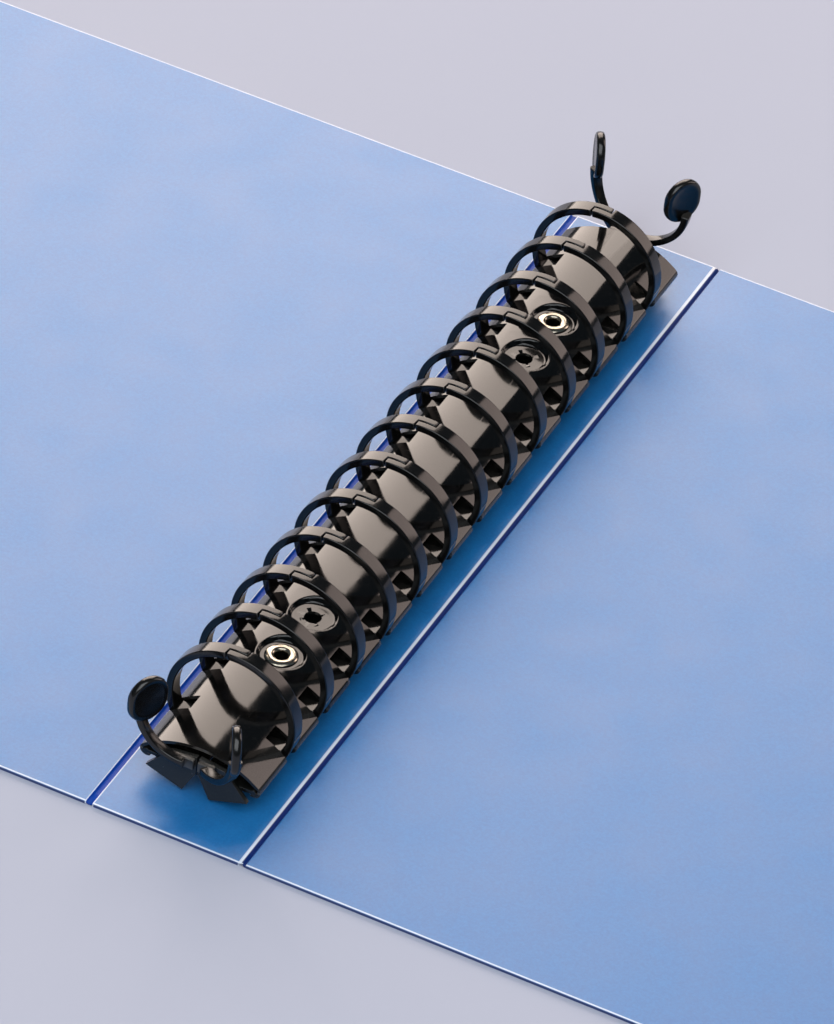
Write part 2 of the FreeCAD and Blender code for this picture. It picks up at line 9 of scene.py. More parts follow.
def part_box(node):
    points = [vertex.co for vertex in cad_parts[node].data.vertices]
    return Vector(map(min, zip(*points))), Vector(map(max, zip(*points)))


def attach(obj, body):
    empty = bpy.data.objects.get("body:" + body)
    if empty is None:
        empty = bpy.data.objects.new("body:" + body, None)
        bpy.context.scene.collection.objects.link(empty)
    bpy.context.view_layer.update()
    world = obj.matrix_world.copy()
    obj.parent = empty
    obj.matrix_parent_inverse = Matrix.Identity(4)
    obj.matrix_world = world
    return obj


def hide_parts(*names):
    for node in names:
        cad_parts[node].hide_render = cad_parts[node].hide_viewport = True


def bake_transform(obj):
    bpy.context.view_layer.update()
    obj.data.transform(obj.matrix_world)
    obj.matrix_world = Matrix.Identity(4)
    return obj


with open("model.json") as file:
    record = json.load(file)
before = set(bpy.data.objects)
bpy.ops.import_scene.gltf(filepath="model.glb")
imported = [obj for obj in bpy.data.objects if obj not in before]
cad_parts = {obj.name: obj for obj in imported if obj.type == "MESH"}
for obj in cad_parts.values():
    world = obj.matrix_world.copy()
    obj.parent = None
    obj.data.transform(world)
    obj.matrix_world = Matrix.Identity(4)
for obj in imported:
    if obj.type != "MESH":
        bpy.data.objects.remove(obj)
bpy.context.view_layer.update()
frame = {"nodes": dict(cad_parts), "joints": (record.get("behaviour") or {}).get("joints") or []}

# A ring file, open and flat on a pale floor, with its black ring mechanism closed.
# Everything is in metres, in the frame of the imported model: +X right cover, +Y rear, +Z up.
# sign is -1 on the left and 1 on the right, and way is -1 at the front end and 1 at the rear.

MM = 0.001
SIDES = {"left": -1, "right": 1}
ENDS = {"front": -1, "rear": 1}

# ---------------------------------------------------------------- places read from the frame
JOINT = {joint["name"]: Vector(joint["pos_m"]) for joint in frame["joints"]}
PIVOT = JOINT["right_half_pivot"]
HINGE = JOINT["right_cover_hinge"].x
SPINE_LOW, SPINE_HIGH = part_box("spine_panel")
SHIELD_LOW, SHIELD_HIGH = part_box("shield")
RING_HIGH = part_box("right_ring_half_01")[1]
SHEET = SPINE_HIGH.z
GROOVE_HALF = HINGE - SPINE_HIGH.x
RINGS = sum(name.startswith("left_ring_half") for name in frame["nodes"])
RING_OUTER = RING_HIGH.x
RING_CENTRE = RING_HIGH.z - RING_OUTER
RING_MIDDLE = math.hypot(PIVOT.x, RING_CENTRE - PIVOT.z)
RING_INNER = 2 * RING_MIDDLE - RING_OUTER
RING_PLACES = [
    sum(corner.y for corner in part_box(f"left_ring_half_{number:02d}")) / 2
    for number in range(1, RINGS + 1)
]
RIVET_PLACES = [sum(corner.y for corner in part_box(f"{end}_rivet")) / 2 for end in ENDS]
RIVET_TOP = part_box("front_rivet")[1].z


# ---------------------------------------------------------------- mesh helpers
def new_object(name, mesh, material):
    """An object for a mesh, linked to the scene, with one material."""
    item = bpy.data.objects.new(name, mesh)
    bpy.context.scene.collection.objects.link(item)
    mesh.materials.clear()
    mesh.materials.append(material)
    return item


def from_bmesh(name, bm, material):
    """An object from a bmesh, with its doubled points merged and its faces turned outwards."""
    bmesh.ops.remove_doubles(bm, verts=bm.verts, dist=1e-7)
    bmesh.ops.dissolve_degenerate(bm, edges=bm.edges, dist=1e-8)
    bmesh.ops.recalc_face_normals(bm, faces=bm.faces)
    mesh = bpy.data.meshes.new(name)
    bm.to_mesh(mesh)
    bm.free()
    return new_object(name, mesh, material)


def apply_modifiers(item):
    """Replace an object's mesh by what its modifiers make of it."""
    depsgraph = bpy.context.evaluated_depsgraph_get()
    mesh = bpy.data.meshes.new_from_object(item.evaluated_get(depsgraph))
    item.modifiers.clear()
    old = item.data
    item.data = mesh
    bpy.data.meshes.remove(old)
    return item


def smooth(item):
    """Smooth shading on all of an object's faces."""
    for polygon in item.data.polygons:
        polygon.use_smooth = True


def soften(item, width, segments=3, angle=35.0):
    """Round the edges that are sharper than an angle in degrees, and smooth the shading."""
    bevel = item.modifiers.new("edges", "BEVEL")
    bevel.width = width
    bevel.segments = segments
    bevel.limit_method = "ANGLE"
    bevel.angle_limit = math.radians(angle)
    bevel.use_clamp_overlap = True
    smooth(item)
    # what the bevel squeezes to nothing in tight corners is welded shut
    item.modifiers.new("specks", "WELD").merge_threshold = 0.004 * MM
    item.modifiers.new("normals", "WEIGHTED_NORMAL").keep_sharp = True
    return apply_modifiers(item)


def bridge(bm, first, second):
    """Quads between two closed loops of vertices with the same count."""
    for index in range(len(first)):
        after = (index + 1) % len(first)
        bm.faces.new((first[index], first[after], second[after], second[index]))


def sweep(bm, sections):
    """A tube with closed ends through a list of loops of points."""
    loops = [[bm.verts.new(point) for point in section] for section in sections]
    for first, second in zip(loops, loops[1:]):
        bridge(bm, first, second)
    bm.faces.new(loops[0])
    bm.faces.new(list(reversed(loops[-1])))


def block(bm, low, high, matrix=Matrix.Identity(4)):
    """A box between two corners, turned by a matrix."""
    corners = ((low[0], low[1]), (high[0], low[1]), (high[0], high[1]), (low[0], high[1]))
    sweep(bm, [[matrix @ Vector((x, y, z)) for x, y in corners] for z in (low[2], high[2])])


def lathe(bm, outline, along, segments):
    """Turn a closed outline of (radius, height) points about the upright line at (0, along)."""
    turns = [2 * math.pi * step / segments for step in range(segments)]
    loops = [
        [
            bm.verts.new((radius * math.cos(turn), along + radius * math.sin(turn), height))
            for turn in turns
        ]
        for radius, height in outline
    ]
    for first, second in zip(loops, loops[1:] + loops[:1]):
        bridge(bm, first, second)


def cad_copy(name, node, material, width, segments):
    """A CAD node's shape with its flat faces joined up and its edges rounded."""
    bm = bmesh.new()
    bm.from_mesh(frame["nodes"][node].data)
    bmesh.ops.remove_doubles(bm, verts=bm.verts, dist=1e-6)
    bmesh.ops.dissolve_limit(bm, angle_limit=math.radians(1.0), verts=bm.verts, edges=bm.edges)
    return soften(from_bmesh(name, bm, material), width, segments)


def stand_in(piece, body, slot, *nodes):
    """Make a piece ride on a body and stand for CAD nodes."""
    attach(piece, body)
    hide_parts(*nodes)


# ---------------------------------------------------------------- materials
def material(name):
    """A node material with its Principled shader and a helper for more nodes."""
    made = bpy.data.materials.new(name)
    made.use_nodes = True
    tree = made.node_tree
    shader = tree.nodes["Principled BSDF"]

    def node(kind, **values):
        item = tree.nodes.new(kind)
        for key, value in values.items():
            if key in item.inputs:
                item.inputs[key].default_value = value
            else:
                setattr(item, key, value)
        return item

    return made, tree.links.new, shader, node


def ramp(node, low, high, first, second):
    """A colour ramp from first at low to second at high."""
    item = node("ShaderNodeValToRGB")
    for element, position, colour in zip(item.color_ramp.elements, (low, high), (first, second)):
        element.position = position
        element.color = (*colour, 1)
    return item


def map_range(node, link, source, low, high, first, second):
    """A socket that turns low to high on source into first to second."""
    item = node("ShaderNodeMapRange")
    for key, value in (("From Min", low), ("From Max", high), ("To Min", first), ("To Max", second)):
        item.inputs[key].default_value = value
    link(source, item.inputs["Value"])
    return item.outputs["Result"]


def math_node(node, link, operation, first, second=None):
    """A socket with the result of an operation, where second may be a number or a socket."""
    item = node("ShaderNodeMath", operation=operation)
    link(first, item.inputs[0])
    if isinstance(second, float):
        item.inputs[1].default_value = second
    elif second is not None:
        link(second, item.inputs[1])
    return item.outputs[0]


def cover_over(node, link, mask, below, colour):
    """A colour socket with a fixed colour laid over it where the mask is 1."""
    item = node("ShaderNodeMix", data_type="RGBA")
    link(mask, item.inputs[0])
    link(below, item.inputs[6])
    item.inputs[7].default_value = (*colour, 1)
    return item.outputs[2]


# painted highlight: pale lines laid along the groove edges and along the top rim of each end
HIGHLIGHT_WHITE = (0.84, 0.90, 1.0)
# painted shade: dark colour laid on the sheet's cut end faces
CUT_SHADE_NAVY = (0.004, 0.030, 0.16)


def sheet_material(name, colour, deep, highlight_bands=(), sheen=1.0):
    """Satin polypropylene sheet: fine grain, faint mottling, a painted highlight along the top rim
    of each end, painted shade on the cut ends and, along the pressed grooves, painted highlight
    bands, as (place across, half width)."""
    made, link, shader, node = material(name)
    shader.inputs["IOR"].default_value = 1.5
    shader.inputs["Specular IOR Level"].default_value = sheen
    place = node("ShaderNodeTexCoord")
    mottle = node("ShaderNodeTexNoise", Scale=55.0, Detail=5.0, Roughness=0.6)
    link(place.outputs["Object"], mottle.inputs["Vector"])
    tone = ramp(node, 0.3, 0.72, deep, colour)
    link(mottle.outputs["Fac"], tone.inputs["Fac"])
    speck = node("ShaderNodeTexNoise", Scale=1300.0, Detail=2.0, Roughness=0.7)
    link(place.outputs["Object"], speck.inputs["Vector"])
    speck_tone = ramp(node, 0.33, 0.7, (0.80, 0.84, 0.90), (1.08, 1.06, 1.03))
    link(speck.outputs["Fac"], speck_tone.inputs["Fac"])
    mixed = node("ShaderNodeMix", data_type="RGBA", blend_type="MULTIPLY")
    mixed.inputs[0].default_value = 1.0
    link(tone.outputs["Color"], mixed.inputs[6])
    link(speck_tone.outputs["Color"], mixed.inputs[7])
    result = mixed.outputs[2]
    split = node("ShaderNodeSeparateXYZ")
    link(place.outputs["Object"], split.inputs["Vector"])

    def near(axis, at, half, fade, strength=1.0):
        """How close a point is to a plane: strength within half of it, falling to 0 over fade."""
        away = math_node(node, link, "SUBTRACT", split.outputs[axis], at)
        size = math_node(node, link, "ABSOLUTE", away)
        return map_range(node, link, size, half, half + fade, strength, 0.0)

    ends = (SPINE_LOW.y, SPINE_HIGH.y)
    # painted shade: the cut end faces are given a dark navy
    under = near("Z", 0.45 * SHEET, half=0.32 * SHEET, fade=0.12 * SHEET)
    for y in ends:
        cut_shade = math_node(node, link, "MULTIPLY", near("Y", y, 0.04 * MM, 0.12 * MM), under)
        result = cover_over(node, link, cut_shade, result, CUT_SHADE_NAVY)
    # painted highlights: pale bands along the groove edges
    for x, half in highlight_bands:
        groove_highlight = near("X", x, half, fade=0.30 * MM, strength=0.9)
        result = cover_over(node, link, groove_highlight, result, HIGHLIGHT_WHITE)
    # painted highlight: a pale line along the top rim of each end
    upper = near("Z", SHEET, half=0.05 * MM, fade=0.15 * MM)
    for y in ends:
        rim_highlight = math_node(node, link, "MULTIPLY", near("Y", y, 0.35 * MM, 0.3 * MM, 0.85), upper)
        result = cover_over(node, link, rim_highlight, result, HIGHLIGHT_WHITE)
    link(result, shader.inputs["Base Color"])
    gloss = map_range(node, link, mottle.outputs["Fac"], 0.0, 1.0, 0.34, 0.48)
    link(gloss, shader.inputs["Roughness"])
    grain = node("ShaderNodeTexNoise", Scale=2400.0, Detail=3.0, Roughness=0.6)
    link(place.outputs["Object"], grain.inputs["Vector"])
    bump = node("ShaderNodeBump", Strength=0.30, Distance=0.05 * MM)
    link(grain.outputs["Fac"], bump.inputs["Height"])
    link(bump.outputs["Normal"], shader.inputs["Normal"])
    return made


def black_material(name, colour, roughness, wave, edge_wear):
    """Glossy black plastic or paint: faint surface waves, patchy gloss, dust and worn edges."""
    made, link, shader, node = material(name)
    shader.inputs["IOR"].default_value = 1.46
    place = node("ShaderNodeTexCoord")
    patch = node("ShaderNodeTexNoise", Scale=220.0, Detail=4.0, Roughness=0.6)
    link(place.outputs["Object"], patch.inputs["Vector"])
    gloss = map_range(
        node, link, patch.outputs["Fac"], 0.3, 0.7, 0.75 * roughness, 1.3 * roughness
    )
    link(gloss, shader.inputs["Roughness"])
    dust = node("ShaderNodeTexNoise", Scale=900.0, Detail=6.0, Roughness=0.75)
    link(place.outputs["Object"], dust.inputs["Vector"])
    tone = ramp(node, 0.55, 0.85, colour, [3.0 * channel + 0.012 for channel in colour])
    link(dust.outputs["Fac"], tone.inputs["Fac"])
    shape = node("ShaderNodeNewGeometry")
    worn = ramp(node, 0.54, 0.66, (0, 0, 0), (edge_wear, edge_wear, edge_wear))
    link(shape.outputs["Pointiness"], worn.inputs["Fac"])
    scuffed = cover_over(
        node, link, worn.outputs["Color"], tone.outputs["Color"], (0.13, 0.12, 0.11)
    )
    link(scuffed, shader.inputs["Base Color"])
    waves = node("ShaderNodeTexNoise", Scale=140.0, Detail=1.5, Roughness=0.4)
    link(place.outputs["Object"], waves.inputs["Vector"])
    bump = node("ShaderNodeBump", Strength=wave, Distance=0.3 * MM)
    link(waves.outputs["Fac"], bump.inputs["Height"])
    link(bump.outputs["Normal"], shader.inputs["Normal"])
    return made


def metal_material(name, colour, roughness):
    """Bright plated or bare steel with fine drawing marks and a little tarnish."""
    made, link, shader, node = material(name)
    shader.inputs["Metallic"].default_value = 1.0
    place = node("ShaderNodeTexCoord")
    marks = node("ShaderNodeTexNoise", Scale=1200.0, Detail=4.0, Roughness=0.6)
    link(place.outputs["Object"], marks.inputs["Vector"])
    gloss = map_range(
        node, link, marks.outputs["Fac"], 0.0, 1.0, 0.6 * roughness, 1.6 * roughness
    )
    link(gloss, shader.inputs["Roughness"])
    tarnish = node("ShaderNodeTexNoise", Scale=350.0, Detail=3.0)
    link(place.outputs["Object"], tarnish.inputs["Vector"])
    tone = ramp(node, 0.35, 0.7, [0.72 * channel for channel in colour], colour)
    link(tarnish.outputs["Fac"], tone.inputs["Fac"])
    link(tone.outputs["Color"], shader.inputs["Base Color"])
    bump = node("ShaderNodeBump", Strength=0.08, Distance=0.1 * MM)
    link(marks.outputs["Fac"], bump.inputs["Height"])
    link(bump.outputs["Normal"], shader.inputs["Normal"])
    return made


BLUE, BLUE_DEEP = (0.005, 0.180, 0.49), (0.004, 0.160, 0.45)
# painted shade: the grooves' blues are darker copies of the sheet's blue, for the shade in the
# troughs
GROOVE_SHADE_BLUE, GROOVE_SHADE_DEEP = (0.003, 0.060, 0.38), (0.002, 0.048, 0.33)
GROOVE_SHADE_NAVY, GROOVE_SHADE_DARKEST = (0.002, 0.026, 0.17), (0.002, 0.020, 0.14)
BLACK = (0.0040, 0.0038, 0.0036)
GROOVE_SHEEN = 0.15
# the pale bands at the groove edges are painted highlights
spine_sheet = sheet_material("spine_sheet", BLUE, BLUE_DEEP, [
    (-(HINGE - GROOVE_HALF), 0.15 * MM), (HINGE - GROOVE_HALF, 0.05 * MM),
])
cover_sheet = sheet_material("cover_sheet", BLUE, BLUE_DEEP, [
    (-(HINGE + GROOVE_HALF), 0.15 * MM),
])
# groove materials darkened with painted shade, the right one with a painted highlight line on its
# slope
groove_shade_sheets = {
    "left": sheet_material("left_groove_shade_sheet", GROOVE_SHADE_BLUE, GROOVE_SHADE_DEEP, [], GROOVE_SHEEN),
    "right": sheet_material("right_groove_shade_sheet", GROOVE_SHADE_NAVY, GROOVE_SHADE_DARKEST, [
        (HINGE - 0.70 * MM, 0.20 * MM),
    ], GROOVE_SHEEN),
}
ring_black = black_material("ring_black", BLACK, 0.11, wave=0.08, edge_wear=0.5)
ear_black = black_material("ear_black", BLACK, 0.18, wave=0.12, edge_wear=0.5)
shield_black = black_material(
    "shield_black", (0.0025, 0.0025, 0.0025), 0.075, wave=0.07, edge_wear=0.6
)
carrier_black = black_material(
    "carrier_black", (0.0050, 0.0055, 0.0050), 0.22, wave=0.10, edge_wear=0.6
)
rivet_chrome = metal_material("rivet_chrome", (0.50, 0.45, 0.37), 0.18)
spacer_steel = metal_material("spacer_steel", (0.50, 0.50, 0.50), 0.32)

# ---------------------------------------------------------------- covers, spine and grooves
SHEET_EDGE = 0.28 * MM          # how much the sheet's edges are rounded
CORNER = 6 * MM                 # radius of a cover's outer corners, in plan
CORNER_STEPS = 8
GROOVE_DEPTH = 0.62 * MM
GROOVE_SHEET = 0.34 * MM        # thickness left under the groove
GROOVE_TUCK = 0.05 * MM         # below the panels' face, and into the panels' sides
GROOVE_END_GAP = 0.15 * MM      # the groove stops short of the panels' rounded ends
GROOVE_LIFT = 0.06 * MM         # lowest point above the floor
GROOVE_STEPS, GROOVE_ROWS = 14, 60
STEP_PLACE, STEP_SHARPNESS = 0.25, 14


def build_cover(side, sign):
    """A flat cover with its two outer corners rounded in plan."""
    low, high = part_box(f"{side}_cover")
    middle = (low + high) / 2
    outline = []
    for x, y, start in (
        (high.x, low.y, -90), (high.x, high.y, 0), (low.x, high.y, 90), (low.x, low.y, 180),
    ):
        if (x - middle.x) * sign < 0:
            outline.append(Vector((x, y)))
            continue
        centre = Vector((x - math.copysign(CORNER, x - middle.x),
                         y - math.copysign(CORNER, y - middle.y)))
        for step in range(CORNER_STEPS + 1):
            turn = math.radians(start + 90 * step / CORNER_STEPS)
            outline.append(centre + CORNER * Vector((math.cos(turn), math.sin(turn))))
    bm = bmesh.new()
    sweep(bm, [[Vector((p.x, p.y, z)) for p in outline] for z in (low.z, high.z)])
    cover = soften(from_bmesh(f"{side}_cover_sheet", bm, cover_sheet), SHEET_EDGE)
    stand_in(cover, f"{side}_cover", "cover_sheet", f"{side}_cover")


def build_spine():
    """The spine panel, with the rivets' holes."""
    spine = cad_copy("spine_sheet_panel", "spine_panel", spine_sheet, SHEET_EDGE, 3)
    stand_in(spine, "base", "cover_sheet", "spine_panel")


def groove_dip(sign, share):
    """Depth of a groove's face at a share of its width, from -1 at its left to 1 at its right.
    The left groove is a round trough, and the right one a step down towards the cover."""
    if sign < 0:
        return GROOVE_DEPTH * (1 - share ** 4) + GROOVE_TUCK
    return GROOVE_DEPTH / (1 + math.exp(STEP_SHARPNESS * (STEP_PLACE - share))) + GROOVE_TUCK


def build_groove(side, sign):
    """The pressed groove of a hinge: a trough of thin sheet."""
    upper, under = [], []
    for step in range(GROOVE_STEPS + 1):
        share = 2 * step / GROOVE_STEPS - 1
        across = sign * HINGE + share * (GROOVE_HALF + GROOVE_TUCK)
        height = SHEET - groove_dip(sign, share)
        upper.append((across, height))
        under.append((across, max(height - GROOVE_SHEET, GROOVE_LIFT)))
    outline = upper + list(reversed(under))
    low, high = SPINE_LOW.y + GROOVE_END_GAP, SPINE_HIGH.y - GROOVE_END_GAP
    bm = bmesh.new()
    sweep(bm, [
        [Vector((x, low + (high - low) * row / GROOVE_ROWS, z)) for x, z in outline]
        for row in range(GROOVE_ROWS + 1)
    ])
    item = from_bmesh(f"{side}_hinge_groove", bm, groove_shade_sheets[side])
    smooth(item)
    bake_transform(item)
    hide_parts(f"{side}_hinge_web")


# ---------------------------------------------------------------- rings
RING_EDGE = 0.32 * MM
RING_STEPS, TONGUE_STEPS = 44, 6
TONGUE_GAP = 0.15 * MM          # each tongue's side to the middle of the strip
NOTCH_GAP = 0.35 * MM           # a tongue's end to the notch of the other half
FOOT_TILT = math.radians(3.75)  # the carriers' slope at rest
FOOT_REACH = 5.8 * MM           # staked foot, inwards from the pivot
FOOT_LOW, FOOT_HIGH = 0.62 * MM, 2.2 * MM


def ring_section(sign, angle, front, rear):
    """A ring strip's section at an angle above level, as a loop of four points."""
    out = Vector((sign * math.cos(angle), 0, math.sin(angle)))
    centre = Vector((0, 0, RING_CENTRE))
    corners = ((RING_INNER, front), (RING_OUTER, front), (RING_OUTER, rear), (RING_INNER, rear))
    return [centre + out * radius + Vector((0, along, 0)) for radius, along in corners]


def build_half_ring(side, sign, number):
    """Half a ring: a flat strip with crisp edges, a half-width tongue at the top and a foot."""
    node = f"{side}_ring_half_{number:02d}"
    low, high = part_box(node)
    front, rear = low.y, high.y
    middle = (front + rear) / 2
    tongue = math.asin(abs(low.x if sign > 0 else high.x) / RING_OUTER)
    start = -math.atan2(RING_CENTRE - PIVOT.z, PIVOT.x)
    full_end = math.pi / 2 - tongue - NOTCH_GAP / RING_MIDDLE
    tongue_end = math.pi / 2 + tongue
    narrow = (front, middle - TONGUE_GAP) if sign > 0 else (middle + TONGUE_GAP, rear)
    sections = [
        ring_section(sign, start + (full_end - start) * step / RING_STEPS, front, rear)
        for step in range(RING_STEPS + 1)
    ]
    sections += [
        ring_section(sign, full_end + (tongue_end - full_end) * step / TONGUE_STEPS, *narrow)
        for step in range(TONGUE_STEPS + 1)
    ]
    bm = bmesh.new()
    sweep(bm, sections)
    matrix = Matrix.Translation((sign * PIVOT.x, 0, PIVOT.z))
    matrix = matrix @ Matrix.Rotation(-sign * FOOT_TILT, 4, "Y")
    near, far = sorted((-sign * FOOT_REACH, 0.0))
    block(bm, (near, front, FOOT_LOW), (far, rear, FOOT_HIGH), matrix)
    item = soften(from_bmesh(f"{side}_ring_{number:02d}", bm, ring_black), RING_EDGE)
    stand_in(item, f"{side}_half", "ring_plastic", node)


# ---------------------------------------------------------------- carriers
def build_carrier(side):
    """A toggle carrier: a strip under the shield with a wing at each end."""
    item = cad_copy(f"{side}_toggle", f"{side}_carrier", carrier_black, 0.22 * MM, 2)
    stand_in(item, f"{side}_half", "carrier_paint", f"{side}_carrier")


# ---------------------------------------------------------------- ears
EAR_FOOT_LENGTH, EAR_FOOT_SHEET, EAR_FOOT_HEIGHT = 5.0 * MM, 1.6 * MM, 3.4 * MM
EAR_FOOT_EDGE = 0.35 * MM
ARM_RISE = 2.2 * MM             # the arm's middle line above the foot's underside
ARM_WIDTH, ARM_THICK, ARM_WAIST = 3.4 * MM, 2.3 * MM, 0.4 * MM
ARM_EDGE = 0.4 * MM
ARM_BEND = 14 * MM              # radius of the quarter turn from level to upright
ARM_STEPS, EDGE_STEPS = 26, 4
SHORT_TURN, LONG_TURN = math.radians(4.0), math.radians(31.0)
TAB_TURN = math.radians(61.6)   # a tab's width, turned from across the file towards its length
TAB_HALF, TAB_STRAIGHT, TAB_THICK, TAB_DISH = 6.2 * MM, 1.0 * MM, 2.6 * MM, 0.28 * MM
TAB_STEPS = 40
# from one face's dished middle round the rim to the other, as shares of half width and thickness
TAB_RIM = (
    (0.30, -0.5), (0.12, -0.5), (0.055, -0.43), (0.015, -0.26), (0.0, 0.0),
    (0.015, 0.26), (0.055, 0.43), (0.12, 0.5), (0.30, 0.5),
)


def rounded_section(centre, across, through, width, thick, rounding):
    """A rounded rectangle about a centre, as a loop of points: width across, thick through."""
    points = []
    for cx, cy, start in ((1, 1, 0), (-1, 1, 90), (-1, -1, 180), (1, -1, 270)):
        for step in range(EDGE_STEPS + 1):
            turn = math.radians(start + 90 * step / EDGE_STEPS)
            x = cx * (width / 2 - rounding) + rounding * math.cos(turn)
            y = cy * (thick / 2 - rounding) + rounding * math.sin(turn)
            points.append(centre + across * x + through * y)
    return points


def build_arm(name, start, out):
    """An ear's arm: from level at start, a quarter turn upwards in the direction of out."""
    sideways = Vector((-out.y, out.x, 0))
    up = Vector((0, 0, 1))
    sections = []
    for step in range(ARM_STEPS + 1):
        bend = math.pi / 2 * step / ARM_STEPS
        waist = ARM_WAIST * math.sin(math.pi * step / ARM_STEPS)
        centre = start + ARM_BEND * (out * math.sin(bend) + up * (1 - math.cos(bend)))
        radial = up * math.cos(bend) - out * math.sin(bend)
        sections.append(rounded_section(
            centre, sideways, radial, ARM_WIDTH - waist, ARM_THICK - waist, ARM_EDGE
        ))
    bm = bmesh.new()
    sweep(bm, sections)
    arm = from_bmesh(name, bm, ear_black)
    for polygon in arm.data.polygons:
        polygon.use_smooth = len(polygon.vertices) == 4
    return arm


def build_foot(name, inner, outer, near, far, low):
    """An ear's foot: a block against the wing, between two places across and two along."""
    bm = bmesh.new()
    block(bm, (min(inner, outer), min(near, far), low),
          (max(inner, outer), max(near, far), low + EAR_FOOT_HEIGHT))
    return soften(from_bmesh(name, bm, ear_black), EAR_FOOT_EDGE)


def build_tab(name, sign, way, centre):
    """An oval finger tab, a flat pad with a soft rim that is a little dished on both faces."""
    across = Vector((sign * math.cos(TAB_TURN), way * math.sin(TAB_TURN), 0))
    through = Vector((across.y, -across.x, 0))
    bm = bmesh.new()
    loops = []
    for inset, depth in TAB_RIM:
        dish = math.copysign(TAB_DISH, -depth) if inset == TAB_RIM[0][0] else 0.0
        reach = TAB_HALF * (1 - inset)
        loop = []
        for step in range(TAB_STEPS):
            angle = 2 * math.pi * step / TAB_STEPS
            rise = math.sin(angle)
            half = 0 if abs(rise) < 1e-9 else math.copysign(1, rise)
            height = reach * rise + half * TAB_STRAIGHT * (1 - 0.3 * inset)
            point = centre + across * reach * math.cos(angle) + Vector((0, 0, height))
            loop.append(bm.verts.new(point + through * (depth * TAB_THICK + dish)))
        loops.append(loop)
    for first, second in zip(loops, loops[1:]):
        bridge(bm, first, second)
    for face, loop in ((-1, loops[0]), (1, loops[-1])):
        hub = bm.verts.new(centre + through * face * (TAB_THICK / 2 - TAB_DISH))
        for index in range(TAB_STEPS):
            bm.faces.new((loop[index], loop[(index + 1) % TAB_STEPS], hub))
    item = from_bmesh(name, bm, ear_black)
    smooth(item)
    return item


def build_ear(side, end, sign, way):
    """A finger lever: a foot on the end wing, an arm that curves up and out, and an oval tab.
    The left front and right rear ears are short, and the other two reach further out."""
    node = f"{side}_{end}_ear"
    low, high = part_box(node)
    inner, outer = (low.x, high.x) if sign > 0 else (high.x, low.x)
    tip = high.y if way > 0 else low.y
    carrier_low, carrier_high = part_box(f"{side}_carrier")
    wing = carrier_high.y if way > 0 else carrier_low.y
    turn = SHORT_TURN if sign == way else LONG_TURN
    out = Vector((sign * math.cos(turn), way * math.sin(turn), 0))
    start = Vector((inner + sign * EAR_FOOT_LENGTH / 2, wing + way * ARM_WIDTH / 2,
                    low.z + ARM_RISE))
    arm = build_arm(f"{side}_{end}_ear_arm", start, out)
    foot = build_foot(f"{side}_{end}_ear_foot", inner, inner + sign * EAR_FOOT_LENGTH,
                      wing, wing + way * EAR_FOOT_SHEET, low.z)
    tab_across = TAB_HALF * math.cos(TAB_TURN) + TAB_THICK / 2 * math.sin(TAB_TURN)
    tab_along = TAB_HALF * math.sin(TAB_TURN) + TAB_THICK / 2 * math.cos(TAB_TURN)
    tab = build_tab(f"{side}_{end}_tab", sign, way, Vector((
        outer - sign * tab_across, tip - way * tab_along, high.z - TAB_HALF - TAB_STRAIGHT,
    )))
    stand_in(arm, f"{side}_half", "ear_plastic", node)
    for item in (foot, tab):
        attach(item, f"{side}_half")


# ---------------------------------------------------------------- shield
ARCH_RADIUS = 28.0 * MM
ARCH_CENTRE = SHIELD_HIGH.z - ARCH_RADIUS
LIP_RADIUS = SHIELD_HIGH.x - PIVOT.x
LIP_ANGLE = math.atan2(PIVOT.z - ARCH_CENTRE, PIVOT.x)
LIP_END = math.radians(-120)
LIP_STEPS = 14
SHIELD_SHEET = 0.98 * MM
SHIELD_EDGE = 0.26 * MM
COLUMN = 1 * MM                 # spacing of the grid on the arch
COLUMNS = 16
LAST_COLUMN = 16.6 * MM
SAME_LINE = 0.05 * MM           # grid lines closer than this are one
SLOT_INNER = 11.5 * MM          # inner end of a ring slot, on a grid line
SLOT_HALF = 3.0 * MM
PATCH = 8.5 * MM                # half of the square of grid that a dimple takes, on grid lines
DIMPLE_FLOOR = RIVET_TOP - 0.8 * MM
RIVET_HOLE, SPARE_HOLE = 3.05 * MM, 2.5 * MM
# from a dimple's rim to its flat floor, as radius in mm and share of the way down
DIMPLE_WALL = (
    (7.6, 0.0), (7.15, 0.04), (6.9, 0.14), (6.65, 0.36), (6.45, 0.64), (6.25, 0.86),
    (6.0, 0.97), (5.7, 1.0), (4.4, 1.0),
)
PITCH = RING_PLACES[1] - RING_PLACES[0]
DIMPLES = [
    (place - math.copysign(shift * PITCH, place), hole)
    for place in RIVET_PLACES
    for shift, hole in ((0, RIVET_HOLE), (1, SPARE_HOLE))
]


def arch_height(x):
    """Height of the shield's outer face at a place across."""
    return ARCH_CENTRE + math.sqrt(ARCH_RADIUS ** 2 - x * x)


def shield_profile():
    """Points across the shield's outer face, from the left lip's end to the right lip's end."""
    across = [(index + 0.5) * COLUMN for index in range(COLUMNS)]
    across += [LAST_COLUMN, ARCH_RADIUS * math.cos(LIP_ANGLE)]
    right = [Vector((x, 0, arch_height(x))) for x in across]
    for step in range(1, LIP_STEPS + 1):
        angle = LIP_ANGLE + (LIP_END - LIP_ANGLE) * step / LIP_STEPS
        right.append(Vector((PIVOT.x + LIP_RADIUS * math.cos(angle), 0,
                             PIVOT.z + LIP_RADIUS * math.sin(angle))))
    left = [Vector((-p.x, 0, p.z)) for p in reversed(right)]
    return left + right


def shield_rows():
    """Places along the shield where its grid has a line."""
    lines = {SHIELD_LOW.y, SHIELD_HIGH.y}
    for place in RING_PLACES:
        lines.update((place - SLOT_HALF, place, place + SLOT_HALF))
    for place, _ in DIMPLES:
        count = round(2 * PATCH / COLUMN)
        lines.update(place - PATCH + step * COLUMN for step in range(count + 1))
    rows = []
    for line in sorted(lines):
        if not rows or line - rows[-1] > SAME_LINE:
            rows.append(line)
    return rows


